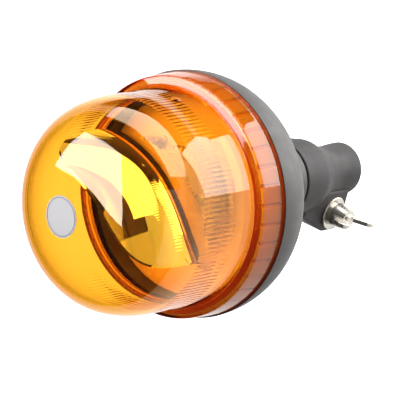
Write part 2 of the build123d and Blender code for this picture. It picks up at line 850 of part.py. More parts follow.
with BuildPart() as motor_screws:
    add(pan_screws(motor_screw_points, plate_top_z, plate_thickness + motor_screw_depth))

with BuildPart() as motor_shaft:
    with BuildSketch(Plane.XY.offset(shaft_bottom_z)):
        with Locations(motor_spot):
            Circle(motor_shaft_radius)
    extrude(amount=shaft_top_z - shaft_bottom_z)

pinion_turn = motor_angle + 180 + 180 / pinion_teeth
with BuildPart() as drive_pinion:
    with BuildSketch(Plane.XY.offset(gear_z - pinion_overhang)):
        with Locations(motor_spot):
            Polygon(*gear_outline(pinion_teeth, pinion_turn), align=None)
            Circle(motor_shaft_radius, mode=Mode.SUBTRACT)
    extrude(amount=shaft_top_z - gear_z + pinion_overhang)

# Interference suppressor under the plate: a capacitor block and a choke
with BuildPart() as suppressor:
    with BuildSketch(Plane.XY.offset(shelf_z)):
        with Locations(Location((*capacitor_place, 0), (0, 0, capacitor_turn))):
            Rectangle(capacitor_thickness, capacitor_width)
    extrude(amount=-capacitor_height)
    with BuildSketch(Plane.XY.offset(shelf_z)):
        with Locations(choke_place):
            Circle(choke_radius)
    extrude(amount=-choke_height)
    fillet(suppressor.faces().sort_by(Axis.Z)[:2].edges(), radius=suppressor_round)

# Dome: skirt, shoulder, side and crown, with ribs and lugs inside the skirt
inner_foot = dome_foot_radius - dome_wall
inner_side = dome_radius - dome_wall
with BuildPart() as lens_dome:
    with BuildSketch(Plane.XZ):
        with BuildLine():
            Spline(*raised(superellipse(dome_radius, dome_crown_height, dome_exponent), side_z),
                   tangents=[(0, 1), (-1, 0)])
            Polyline(
                (dome_radius, side_z),
                (dome_foot_radius, shoulder_z),
                (skirt_top_radius, rim_z + skirt_height),
                (skirt_radius, rim_z),
                (skirt_radius - skirt_wall, rim_z),
                (skirt_top_radius - skirt_wall, shoulder_z - dome_wall),
                (inner_foot, shoulder_z - dome_wall),
                (inner_side, side_z),
            )
            Spline(*raised(superellipse(inner_side, dome_crown_height - dome_wall, dome_exponent), side_z),
                   tangents=[(0, 1), (-1, 0)])
            Line((0, crown_z - dome_wall), (0, crown_z))
        make_face()
    revolve(axis=Axis.Z)
    round_edges = lens_dome.edges().filter_by(GeomType.CIRCLE)
    fillet(round_edges.filter_by_position(Axis.Z, rim_z + skirt_height - 0.1, rim_z + skirt_height + 0.1),
           radius=edge_round)
    fillet(round_edges.filter_by_position(Axis.Z, shoulder_z - 0.1, shoulder_z + 0.1), radius=edge_round)
    rib_inner = skirt_top_radius - skirt_wall - skirt_rib_depth
    rib_outer = skirt_top_radius - skirt_rib_start
    with BuildSketch(Plane.XY.offset(rim_z + skirt_rib_start)):
        with PolarLocations((rib_inner + rib_outer) / 2, skirt_rib_count):
            Rectangle(rib_outer - rib_inner, skirt_rib_width)
    extrude(amount=skirt_height - dome_wall)
    with PolarLocations(0, lug_count):
        add(ring_sector(ring_outer + loose, rib_outer, lug_z, lug_z + lug_height, lug_arc))

# Plain white disc stuck on the crown
crown_curve = superellipse(dome_radius, dome_crown_height, dome_exponent)
cover_curve = superellipse(dome_radius + disc_thickness, dome_crown_height + disc_thickness, dome_exponent)
with BuildPart() as rating_disc:
    with BuildSketch(Plane.XZ):
        with BuildLine():
            lower = Spline(*raised(crown_curve, side_z), tangents=[(0, 1), (-1, 0)])
            upper = Spline(*raised(cover_curve, side_z), tangents=[(0, 1), (-1, 0)])
            Line(lower @ 0, upper @ 0)
            Line(lower @ 1, upper @ 1)
        make_face()
    revolve(axis=Axis.Z)
    with BuildSketch(Plane.XY.offset(side_z)):
        with Locations(disc_place):
            Circle(disc_radius)
    extrude(amount=dome_crown_height + 2.0, mode=Mode.INTERSECT)

# Clamp bolt through the ears, with its washers and wing nut towards -Y
bolt_spot = (-ear_reach, ear_height)
head_face = ear_half_width + washer_thickness
with BuildPart() as clamp_bolt:
    with BuildSketch(Plane.XZ.offset(-head_face)):
        with Locations(bolt_spot):
            RegularPolygon(head_across_flats / 2, 6, major_radius=False)
    extrude(amount=-head_height)
    with BuildSketch(Plane.XZ.offset(-head_face)):
        with Locations(bolt_spot):
            Circle(bolt_radius)
    extrude(amount=head_face + ear_half_width + bolt_end)
    chamfer(clamp_bolt.faces().sort_by(Axis.Y)[0].edges(), length=bolt_chamfer)

with BuildPart() as head_washer:
    with BuildSketch(Plane.XZ.offset(-ear_half_width)):
        with Locations(bolt_spot):
            Circle(washer_radius)
            Circle(bolt_radius + loose, mode=Mode.SUBTRACT)
    extrude(amount=-washer_thickness)

with BuildPart() as clamp_washer:
    with BuildSketch(Plane.XZ.offset(ear_half_width)):
        with Locations(bolt_spot):
            Circle(washer_radius)
            Circle(bolt_radius + loose, mode=Mode.SUBTRACT)
    extrude(amount=washer_thickness)
    chamfer(clamp_washer.faces().sort_by(Axis.Y)[0].edges().sort_by(SortBy.RADIUS)[-1], length=0.3)

spring_face = ear_half_width + washer_thickness
with BuildPart() as spring_washer:
    with BuildSketch(Plane.XZ.offset(spring_face)):
        with Locations(bolt_spot):
            Circle(spring_washer_radius)
            Circle(bolt_radius + loose, mode=Mode.SUBTRACT)
        with Locations((-ear_reach + spring_washer_radius, ear_height)):
            Rectangle(2 * spring_washer_radius, spring_washer_split, mode=Mode.SUBTRACT)
    extrude(amount=spring_washer_thickness)

nut_face = spring_face + spring_washer_thickness
lean = math.radians(wing_rest_angle)
wing_plane = Plane(
    origin=(-ear_reach, -nut_face, ear_height),
    x_dir=(-math.sin(lean), 0, -math.cos(lean)),
    z_dir=(-math.cos(lean), 0, math.sin(lean)),
)
wing_centre = wing_half_span - wing_tip_radius
with BuildPart() as wing_nut:
    with BuildSketch(wing_plane):
        with Locations((wing_centre, wing_height - wing_tip_radius)):
            Circle(wing_tip_radius)
        with Locations((bolt_radius + wing_root, nut_height / 2)):
            Rectangle(1.0, nut_height - 1.0)
        make_hull(mode=Mode.REPLACE)
    extrude(amount=wing_thickness / 2, both=True)
    with BuildSketch(wing_plane):
        with Locations((-wing_centre, wing_height - wing_tip_radius)):
            Circle(wing_tip_radius)
        with Locations((-bolt_radius - wing_root, nut_height / 2)):
            Rectangle(1.0, nut_height - 1.0)
        make_hull(mode=Mode.REPLACE)
    extrude(amount=wing_thickness / 2, both=True)
    fillet(wing_nut.edges().filter_by(GeomType.CIRCLE), radius=wing_thickness * 0.3)
    with BuildSketch(Plane.XZ.offset(nut_face)):
        with Locations(bolt_spot):
            Circle(nut_base_radius)
    extrude(amount=nut_height, taper=nut_draft)
    with BuildSketch(Plane.XZ.offset(nut_face)):
        with Locations(bolt_spot):
            Circle(bolt_radius + running)
    extrude(amount=wing_height + 1.0, mode=Mode.SUBTRACT)

pieces = {
    "stem": stem,
    "base_housing": base_housing,
    "stem_core": stem_core,
    "core_screws": core_screws,
    "contact_carrier": contact_carrier,
    "terminal_plate": terminal_plate,
    "earth_strip": earth_strip,
    "centre_contact": centre_contact,
    "contact_spring": contact_spring,
    "chassis_plate": chassis_plate,
    "chassis_screws": chassis_screws,
    "lamp_tower": lamp_tower,
    "retaining_ring": retaining_ring,
    "lamp_holder": lamp_holder,
    "lamp_clip": lamp_clip,
    "bulb_base": bulb_base,
    "bulb_glass": bulb_glass,
    "bulb_filament": bulb_filament,
    "motor_can": motor_can,
    "motor_cap": motor_cap,
    "motor_screws": motor_screws,
    "suppressor": suppressor,
    "motor_shaft": motor_shaft,
    "drive_pinion": drive_pinion,
    "rotor_bush": rotor_bush,
    "drive_gear": drive_gear,
    "mirror_pedestal": mirror_pedestal,
    "pedestal_screws": pedestal_screws,
    "reflector": reflector,
    "lens_gasket": lens_gasket,
    "lens_dome": lens_dome,
    "rating_disc": rating_disc,
    "clamp_bolt": clamp_bolt,
    "head_washer": head_washer,
    "clamp_washer": clamp_washer,
    "spring_washer": spring_washer,
    "wing_nut": wing_nut,
}
os.makedirs("parts", exist_ok=True)
for label, piece in pieces.items():
    piece.part.label = label
    export_step(piece.part, f"parts/{label}.step")
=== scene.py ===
"""Looks of the rotating beacon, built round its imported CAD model."""

import logging
import math
from dataclasses import dataclass
from enum import Enum

import bmesh
import bpy
from mathutils import Matrix, Vector


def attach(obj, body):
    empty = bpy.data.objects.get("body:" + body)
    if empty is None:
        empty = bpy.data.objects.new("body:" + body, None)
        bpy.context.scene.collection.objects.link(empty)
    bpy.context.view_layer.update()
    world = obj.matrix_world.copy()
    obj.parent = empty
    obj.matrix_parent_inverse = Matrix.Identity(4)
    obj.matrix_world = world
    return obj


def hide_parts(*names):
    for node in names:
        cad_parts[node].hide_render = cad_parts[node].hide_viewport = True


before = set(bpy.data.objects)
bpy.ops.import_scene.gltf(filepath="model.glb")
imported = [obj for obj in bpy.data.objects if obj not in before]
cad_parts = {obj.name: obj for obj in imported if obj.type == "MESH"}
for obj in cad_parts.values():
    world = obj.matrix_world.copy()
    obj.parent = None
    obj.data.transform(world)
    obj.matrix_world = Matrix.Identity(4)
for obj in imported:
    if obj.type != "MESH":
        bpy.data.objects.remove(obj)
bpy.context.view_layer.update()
LOG = logging.getLogger("beacon")

Colour = tuple[float, float, float, float]
Point = tuple[float, float, float]
Outline = tuple[tuple[float, float], ...]
Profile = list[tuple[float, float]]
Socket = bpy.types.NodeSocket
Source = bpy.types.NodeSocket | float

MM_PER_M = 1000
MERGE_DISTANCE = 1e-6
NOISE_DETAIL = 4.0
BROAD_TO_FINE = 12.0
ROUGHNESS_LOW = 0.85
ROUGHNESS_HIGH = 1.15
BUMP_DISTANCE = 0.0002
WALL_TOLERANCE = 0.1
LEAST_RADIUS = 0.001


class Body(Enum):
    """The moving body that the scene's own pieces ride on."""

    LENS = "lens"


class Wall(Enum):
    """The mark that each wall of the dome's shell carries."""

    OUTER = 0.0
    INNER = 1.0


# Mesh helpers

def new_object(name: str, mesh: bpy.types.Mesh) -> bpy.types.Object:
    """Link a mesh to the scene as an object at the origin.

    Args:
        name: Name of the piece.
        mesh: Mesh with its place in its vertices.

    Returns:
        The linked object.
    """
    piece = bpy.data.objects.new(name, mesh)
    bpy.context.scene.collection.objects.link(piece)
    return piece


def close_and_orient(mesh: bpy.types.Mesh, smooth: bool = True) -> None:
    """Merge doubles and turn every face outwards.

    Args:
        mesh: Mesh to clean.
        smooth: Whether its faces are shaded smooth.
    """
    work = bmesh.new()
    work.from_mesh(mesh)
    bmesh.ops.remove_doubles(work, verts=work.verts, dist=MERGE_DISTANCE)
    bmesh.ops.recalc_face_normals(work, faces=work.faces)
    work.to_mesh(mesh)
    work.free()
    for face in mesh.polygons:
        face.use_smooth = smooth


def superellipse(radius: float, height: float, exponent: float, steps: int) -> Profile:
    """Points of a quarter superellipse.

    Args:
        radius: Half width at its foot.
        height: Its height on the axis.
        exponent: How square the curve is.
        steps: Number of runs between the points.

    Returns:
        Points (radius, level) from the foot to the crown.
    """
    points: Profile = []
    for step in range(steps + 1):
        angle = math.pi / 2 * step / steps
        across = radius * max(math.cos(angle), 0.0) ** (2 / exponent)
        points.append((across, height * math.sin(angle) ** (2 / exponent)))
    return points


# Finishes

def noise_mask_group() -> bpy.types.NodeTree:
    """Build the shared group that gives a soft uneven mask from a position.

    Returns:
        The node group, with inputs Position, Scale and Contrast and output Mask.
    """
    name = "uneven_mask"
    if name in bpy.data.node_groups:
        return bpy.data.node_groups[name]
    group = bpy.data.node_groups.new(name, "ShaderNodeTree")
    sockets = group.interface
    sockets.new_socket("Position", in_out="INPUT", socket_type="NodeSocketVector")
    scale = sockets.new_socket("Scale", in_out="INPUT", socket_type="NodeSocketFloat")
    scale.default_value = 200.0
    contrast = sockets.new_socket("Contrast", in_out="INPUT", socket_type="NodeSocketFloat")
    contrast.default_value = 0.5
    sockets.new_socket("Mask", in_out="OUTPUT", socket_type="NodeSocketFloat")
    nodes = group.nodes
    links = group.links
    ends = nodes.new("NodeGroupInput")
    out = nodes.new("NodeGroupOutput")
    noise = nodes.new("ShaderNodeTexNoise")
    noise.inputs["Detail"].default_value = NOISE_DETAIL
    spread = nodes.new("ShaderNodeMapRange")
    low = nodes.new("ShaderNodeMath")
    low.operation = "MULTIPLY"
    low.inputs[1].default_value = 0.5
    high = nodes.new("ShaderNodeMath")
    high.operation = "SUBTRACT"
    high.inputs[0].default_value = 1.0
    links.new(ends.outputs["Position"], noise.inputs["Vector"])
    links.new(ends.outputs["Scale"], noise.inputs["Scale"])
    links.new(ends.outputs["Contrast"], low.inputs[0])
    links.new(low.outputs[0], high.inputs[1])
    links.new(noise.outputs[0], spread.inputs["Value"])
    links.new(low.outputs[0], spread.inputs["From Min"])
    links.new(high.outputs[0], spread.inputs["From Max"])
    links.new(spread.outputs["Result"], out.inputs["Mask"])
    return group


@dataclass(frozen=True)
class Finish:
    """A named finish, made once with the Principled shader."""

    name: str
    colour: Colour

    def material(self) -> bpy.types.Material:
        """Give the finish's material, and make it on the first call.

        Returns:
            The material, whose name can't meet one of the CAD model's.
        """
        name = "finish_" + self.name
        if name in bpy.data.materials:
            return bpy.data.materials[name]
        made = bpy.data.materials.new(name)
        made.use_nodes = True
        self.wire(made.node_tree)
        return made

    def wire(self, tree: bpy.types.NodeTree) -> None:
        """Wire the material. Each kind of finish has its own way."""
        raise NotImplementedError


@dataclass(frozen=True)
class SolidFinish(Finish):
    """An opaque finish of two close colours with a fine uneven surface."""

    second: Colour
    roughness: float = 0.5
    metallic: float = 0.0
    grain: float = 900.0
    bump: float = 0.05

    def wire(self, tree: bpy.types.NodeTree) -> None:
        """Wire colour, roughness and bump into the shader.

        Args:
            tree: The material's node tree.
        """
        nodes = tree.nodes
        links = tree.links
        shader = nodes["Principled BSDF"]
        shader.inputs["Metallic"].default_value = self.metallic
        place = nodes.new("ShaderNodeTexCoord")
        broad = nodes.new("ShaderNodeGroup")
        broad.node_tree = noise_mask_group()
        broad.inputs["Scale"].default_value = self.grain / BROAD_TO_FINE
        fine = nodes.new("ShaderNodeGroup")
        fine.node_tree = noise_mask_group()
        fine.inputs["Scale"].default_value = self.grain
        tone = nodes.new("ShaderNodeMix")
        tone.data_type = "RGBA"
        tone.inputs["A"].default_value = self.colour
        tone.inputs["B"].default_value = self.second
        rough = nodes.new("ShaderNodeMapRange")
        rough.inputs["To Min"].default_value = self.roughness * ROUGHNESS_LOW
        rough.inputs["To Max"].default_value = min(self.roughness * ROUGHNESS_HIGH, 1.0)
        bump = nodes.new("ShaderNodeBump")
        bump.inputs["Strength"].default_value = self.bump
        bump.inputs["Distance"].default_value = BUMP_DISTANCE
        links.new(place.outputs["Object"], broad.inputs["Position"])
        links.new(place.outputs["Object"], fine.inputs["Position"])
        links.new(broad.outputs["Mask"], tone.inputs["Factor"])
        links.new(tone.outputs["Result"], shader.inputs["Base Color"])
        links.new(broad.outputs["Mask"], rough.inputs["Value"])
        links.new(rough.outputs["Result"], shader.inputs["Roughness"])
        links.new(fine.outputs["Mask"], bump.inputs["Height"])
        links.new(bump.outputs["Normal"], shader.inputs["Normal"])


@dataclass(frozen=True)
class ClearFinish(Finish):
    """A clear tinted finish that lets light through to what it covers."""

    shadow: Colour
    ior: float
    roughness: float = 0.0
    clear: float = 1.0
    depth_colour: Colour = (1.0, 1.0, 1.0, 1.0)
    density: float = 0.0

    def wire(self, tree: bpy.types.NodeTree) -> None:
        """Wire the clear shader, its tinted shadow and the tint that deepens in the wall.

        Args:
            tree: The material's node tree.
        """
        nodes = tree.nodes
        links = tree.links
        shader = nodes["Principled BSDF"]
        output = nodes["Material Output"]
        shader.inputs["Base Color"].default_value = self.colour
        shader.inputs["Roughness"].default_value = self.roughness
        shader.inputs["Transmission Weight"].default_value = self.clear
        shader.inputs["IOR"].default_value = self.ior
        shade = nodes.new("ShaderNodeBsdfTransparent")
        shade.inputs["Color"].default_value = self.shadow
        light_path = nodes.new("ShaderNodeLightPath")
        mix = nodes.new("ShaderNodeMixShader")
        links.new(light_path.outputs["Is Shadow Ray"], mix.inputs[0])
        links.new(shader.outputs["BSDF"], mix.inputs[1])
        links.new(shade.outputs["BSDF"], mix.inputs[2])
        links.new(mix.outputs["Shader"], output.inputs["Surface"])
        if self.density > 0.0:
            depth = nodes.new("ShaderNodeVolumeAbsorption")
            depth.inputs["Color"].default_value = self.depth_colour
            depth.inputs["Density"].default_value = self.density
            links.new(depth.outputs["Volume"], output.inputs["Volume"])


AMBER_SHADOW = (0.97, 0.68, 0.14, 1.0)
AMBER_DEPTH = (0.985, 0.835, 0.22, 1.0)
AMBER_DENSITY = 740.0
AMBER_IOR = 1.58

AMBER = ClearFinish("amber_lens", (1.0, 1.0, 1.0, 1.0), AMBER_SHADOW, AMBER_IOR,
                    depth_colour=AMBER_DEPTH, density=AMBER_DENSITY)
FROSTED = ClearFinish("amber_skirt", (0.62, 0.24, 0.20, 1.0), AMBER_SHADOW, AMBER_IOR,
                      roughness=0.5, clear=0.6, depth_colour=AMBER_DEPTH, density=AMBER_DENSITY)
QUARTZ = ClearFinish("lamp_glass", (0.97, 0.98, 0.99, 1.0), (0.95, 0.95, 0.95, 1.0), 1.46)
HOUSING = SolidFinish("housing_plastic", (0.060, 0.056, 0.053, 1.0), (0.066, 0.062, 0.058, 1.0),
                      roughness=0.55, grain=1600.0, bump=0.06)
RUBBER = SolidFinish("stem_rubber", (0.023, 0.020, 0.019, 1.0), (0.028, 0.025, 0.024, 1.0),
                     roughness=0.62, grain=1300.0, bump=0.12)
NICKEL = SolidFinish("nickel_steel", (0.66, 0.61, 0.55, 1.0), (0.58, 0.54, 0.48, 1.0),
                     roughness=0.24, metallic=0.85, grain=1500.0, bump=0.05)
ZINC = SolidFinish("zinc_steel", (0.66, 0.66, 0.64, 1.0), (0.58, 0.58, 0.57, 1.0),
                   roughness=0.34, metallic=1.0, grain=900.0, bump=0.05)
MIRROR = SolidFinish("reflector_metal", (0.93, 0.92, 0.89, 1.0), (0.92, 0.91, 0.88, 1.0),
                     roughness=0.03, metallic=1.0, grain=200.0, bump=0.0)
PAPER = SolidFinish("disc_paper", (0.42, 0.41, 0.42, 1.0), (0.40, 0.39, 0.40, 1.0),
                    roughness=0.45, grain=700.0, bump=0.04)
PRINT = SolidFinish("disc_line", (0.10, 0.10, 0.12, 1.0), (0.12, 0.12, 0.14, 1.0))
CHASSIS = SolidFinish("chassis_plastic", (0.78, 0.76, 0.72, 1.0), (0.72, 0.70, 0.66, 1.0),
                      roughness=0.6, grain=300.0, bump=0.02)
ACETAL = SolidFinish("gear_acetal", (0.80, 0.79, 0.74, 1.0), (0.76, 0.75, 0.70, 1.0),
                     roughness=0.4, grain=700.0)
NYLON = SolidFinish("tower_nylon", (0.75, 0.74, 0.70, 1.0), (0.70, 0.69, 0.65, 1.0), grain=700.0)
CERAMIC = SolidFinish("lamp_ceramic", (0.84, 0.83, 0.80, 1.0), (0.80, 0.79, 0.76, 1.0))
PHENOLIC = SolidFinish("phenolic", (0.05, 0.035, 0.03, 1.0), (0.07, 0.05, 0.04, 1.0))
BRASS = SolidFinish("contact_brass", (0.78, 0.57, 0.26, 1.0), (0.68, 0.48, 0.22, 1.0),
                    roughness=0.3, metallic=1.0)
BRONZE = SolidFinish("sintered_bronze", (0.52, 0.36, 0.20, 1.0), (0.42, 0.29, 0.17, 1.0),
                     roughness=0.55, metallic=1.0, grain=2500.0, bump=0.2)
STEEL = SolidFinish("motor_steel", (0.56, 0.56, 0.55, 1.0), (0.48, 0.48, 0.47, 1.0),
                    roughness=0.3, metallic=1.0)
TUNGSTEN = SolidFinish("tungsten", (0.35, 0.34, 0.33, 1.0), (0.30, 0.29, 0.28, 1.0),
                       roughness=0.4, metallic=1.0)
FILM = SolidFinish("suppressor_film", (0.45, 0.28, 0.05, 1.0), (0.38, 0.22, 0.04, 1.0),
                   roughness=0.3)
CARD = SolidFinish("dark_card", (0.02, 0.02, 0.02, 1.0), (0.02, 0.02, 0.02, 1.0), roughness=0.9)
GASKET = SolidFinish("gasket_rubber", (0.02, 0.02, 0.02, 1.0), (0.03, 0.03, 0.03, 1.0),
                     roughness=0.8)

NODE_FINISHES: dict[str, Finish] = {
    "stem": RUBBER, "base_housing": HOUSING, "stem_core": ZINC, "core_screws": ZINC,
    "chassis_plate": CHASSIS, "chassis_screws": ZINC, "retaining_ring": ZINC, "lamp_clip": ZINC,
    "motor_screws": ZINC, "pedestal_screws": ZINC, "clamp_bolt": NICKEL, "head_washer": NICKEL,
    "clamp_washer": NICKEL, "spring_washer": NICKEL, "wing_nut": NICKEL,
    "contact_carrier": PHENOLIC, "motor_cap": PHENOLIC, "terminal_plate": BRASS,
    "centre_contact": BRASS, "earth_strip": BRASS, "contact_spring": STEEL,
    "lamp_tower": NYLON, "lamp_holder": CERAMIC, "bulb_base": ZINC, "bulb_glass": QUARTZ,
    "bulb_filament": TUNGSTEN, "motor_can": STEEL, "motor_shaft": STEEL, "suppressor": FILM,
    "rotor_bush": BRONZE, "drive_gear": ACETAL, "drive_pinion": ACETAL,
    "mirror_pedestal": ACETAL, "reflector": MIRROR, "lens_gasket": GASKET, "lens_dome": AMBER,
    "rating_disc": PAPER,
}


def dress(node: str, finish: Finish) -> None:
    """Give a CAD node's material slots a finish.

    Args:
        node: Name of the CAD node.
        finish: The finish that it gets.
    """
    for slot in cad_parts[node].material_slots:
        slot.material = finish.material()


# Geometry Nodes rules

class Rule:
    """A small builder for a geometry node group with named inputs."""

    def __init__(self, name: str) -> None:
        """Start an empty group that takes and gives geometry.

        Args:
            name: Name of the node group.
        """
        self.group = bpy.data.node_groups.new(name, "GeometryNodeTree")
        for way in ("INPUT", "OUTPUT"):
            self.group.interface.new_socket("Geometry", in_out=way,
                                            socket_type="NodeSocketGeometry")
        self.start = self.group.nodes.new("NodeGroupInput")
        self.end = self.group.nodes.new("NodeGroupOutput")

    def value(self, name: str, default: float) -> Socket:
        """Add a named number to the group's inputs.

        Args:
            name: Name of the input.
            default: Its value where none is given.

        Returns:
            The input's socket inside the group.
        """
        socket = self.group.interface.new_socket(name, in_out="INPUT",
                                                 socket_type="NodeSocketFloat")
        socket.default_value = default
        return self.start.outputs[name]

    def material(self) -> Socket:
        """Add the material to the group's inputs.

        Returns:
            The input's socket inside the group.
        """
        self.group.interface.new_socket("Material", in_out="INPUT",
                                        socket_type="NodeSocketMaterial")
        return self.start.outputs["Material"]

    def feed(self, socket: Socket, source: Source) -> None:
        """Link a socket or set its value.

        Args:
            socket: The input socket to fill.
            source: Another node's output, or a plain number.
        """
        if isinstance(source, bpy.types.NodeSocket):
            self.group.links.new(source, socket)
        else:
            socket.default_value = source

    def math(self, operation: str, first: Source, second: Source = 0.0) -> Socket:
        """Add a math node.

        Args:
            operation: What the node does.
            first: Its first value.
            second: Its second value, where the operation has one.

        Returns:
            The node's result.
        """
        node = self.group.nodes.new("ShaderNodeMath")
        node.operation = operation
        self.feed(node.inputs[0], first)
        self.feed(node.inputs[1], second)
        return node.outputs[0]

    def ramp(self, value: Socket, low: Source, high: Source) -> Socket:
        """Add a smooth step from 0 to 1.

        Args:
            value: The value that is looked at.
            low: Where the step starts.
            high: Where the step ends.

        Returns:
            The node's result.
        """
        node = self.group.nodes.new("ShaderNodeMapRange")
        node.interpolation_type = "SMOOTHSTEP"
        self.feed(node.inputs["Value"], value)
        self.feed(node.inputs["From Min"], low)
        self.feed(node.inputs["From Max"], high)
        return node.outputs["Result"]

    def close(self, moved: Socket, material: Socket) -> bpy.types.NodeTree:
        """Realize, set the material and end the group.

        Args:
            moved: The geometry to hand out.
            material: The material's socket.

        Returns:
            The finished node group.
        """
        real = self.group.nodes.new("GeometryNodeRealizeInstances")
        paint = self.group.nodes.new("GeometryNodeSetMaterial")
        self.group.links.new(moved, real.inputs[0])
        self.group.links.new(real.outputs[0], paint.inputs["Geometry"])
        self.group.links.new(material, paint.inputs["Material"])
        self.group.links.new(paint.outputs[0], self.end.inputs[0])
        return self.group


def moulded_rule() -> bpy.types.NodeTree:
    """Build the rule that moulds evenly spaced ribs or pips on one wall of a turned shell.

    Returns:
        The group. Wall picks the wall, Count the number round the axis, Start the angle of the
        first, Width the width of each, Edge how soft its flanks are, Low and High its levels and
        Depth how far it stands out. Round at 1 makes pips at the middle level in place of ribs.
    """
    name = "moulded_ribs"
    if name in bpy.data.node_groups:
        return bpy.data.node_groups[name]
    rule = Rule(name)
    wall = rule.value("Wall", Wall.INNER.value)
    count = rule.value("Count", 40.0)
    start = rule.value("Start", 0.0)
    width = rule.value("Width", 0.0014)
    edge = rule.value("Edge", 0.0003)
    low = rule.value("Low", 0.0)
    high = rule.value("High", 1.0)
    depth = rule.value("Depth", 0.0005)
    rounded = rule.value("Round", 0.0)
    material = rule.material()
    nodes = rule.group.nodes
    links = rule.group.links
    place = nodes.new("GeometryNodeInputPosition")
    split = nodes.new("ShaderNodeSeparateXYZ")
    links.new(place.outputs[0], split.inputs[0])
    x, y, z = split.outputs["X"], split.outputs["Y"], split.outputs["Z"]

    # How far a point lies from the middle of the nearest rib or pip.
    across = rule.math("ARCTAN2", y, x)
    radius = rule.math("SQRT", rule.math("ADD", rule.math("MULTIPLY", x, x),
                                         rule.math("MULTIPLY", y, y)))
    half_turn = rule.math("DIVIDE", math.pi, count)
    folded = rule.math("PINGPONG", rule.math("SUBTRACT", across, start), half_turn)
    aside = rule.math("MULTIPLY", folded, radius)
    middle = rule.math("MULTIPLY", rule.math("ADD", low, high), 0.5)
    lifted = rule.math("MULTIPLY", rule.math("SUBTRACT", z, middle), rounded)
    away = rule.math("SQRT", rule.math("ADD", rule.math("MULTIPLY", aside, aside),
                                       rule.math("MULTIPLY", lifted, lifted)))

    # How much of the depth the point gets, from its place, its level and its wall.
    rim = rule.math("MULTIPLY", width, 0.5)
    inside = rule.ramp(away, rule.math("SUBTRACT", rim, edge), rim)
    shape = rule.math("SUBTRACT", 1.0, inside)
    rise = rule.ramp(z, low, rule.math("ADD", low, edge))
    fall = rule.math("SUBTRACT", 1.0, rule.ramp(z, rule.math("SUBTRACT", high, edge), high))
    band = rule.math("MULTIPLY", rise, fall)
    named = nodes.new("GeometryNodeInputNamedAttribute")
    named.data_type = "FLOAT"
    named.inputs["Name"].default_value = "wall"
    same = rule.math("COMPARE", named.outputs["Attribute"], wall)
    same.node.inputs[2].default_value = WALL_TOLERANCE
    amount = rule.math("MULTIPLY", rule.math("MULTIPLY", shape, band),
                       rule.math("MULTIPLY", same, depth))

    # The move, away from the axis.
    share = rule.math("DIVIDE", amount, rule.math("MAXIMUM", radius, LEAST_RADIUS))
    move = nodes.new("ShaderNodeCombineXYZ")
    links.new(rule.math("MULTIPLY", x, share), move.inputs["X"])
    links.new(rule.math("MULTIPLY", y, share), move.inputs["Y"])
    shift = nodes.new("GeometryNodeSetPosition")
    links.new(rule.start.outputs["Geometry"], shift.inputs["Geometry"])
    links.new(move.outputs[0], shift.inputs["Offset"])
    return rule.close(shift.outputs[0], material)


def apply_rule(piece: bpy.types.Object, group: bpy.types.NodeTree,
               settings: dict[str, object]) -> None:
    """Run a geometry rule on a piece and keep the result as its plain mesh.

    Args:
        piece: The object to change.
        group: The geometry node group.
        settings: Values for the group's named inputs.
    """
    modifier = piece.modifiers.new(group.name, "NODES")
    modifier.node_group = group
    for item in group.interface.items_tree:
        if item.item_type == "SOCKET" and item.in_out == "INPUT" and item.name in settings:
            modifier[item.identifier] = settings[item.name]
    bpy.context.view_layer.update()
    graph = bpy.context.evaluated_depsgraph_get()
    made = bpy.data.meshes.new_from_object(piece.evaluated_get(graph))
    piece.modifiers.remove(modifier)
    piece.data = made


# Pieces

@dataclass(frozen=True)
class Moulding:
    """One set of ribs or pips for the rule. Sizes in millimetres, the start in degrees."""

    wall: Wall
    count: int
    width: float
    edge: float
    low: float
    high: float
    depth: float
    start: float = 0.0
    rounded: bool = False

    def settings(self, material: bpy.types.Material) -> dict[str, object]:
        """Values for the rule's named inputs.

        Args:
            material: The material that the piece keeps.

        Returns:
            Each input's name with its value, in metres and radians.
        """
        return {"Wall": self.wall.value, "Count": float(self.count),
                "Start": math.radians(self.start), "Width": self.width / MM_PER_M,
                "Edge": self.edge / MM_PER_M, "Low": self.low / MM_PER_M,
                "High": self.high / MM_PER_M, "Depth": self.depth / MM_PER_M,
                "Round": float(self.rounded), "Material": material}


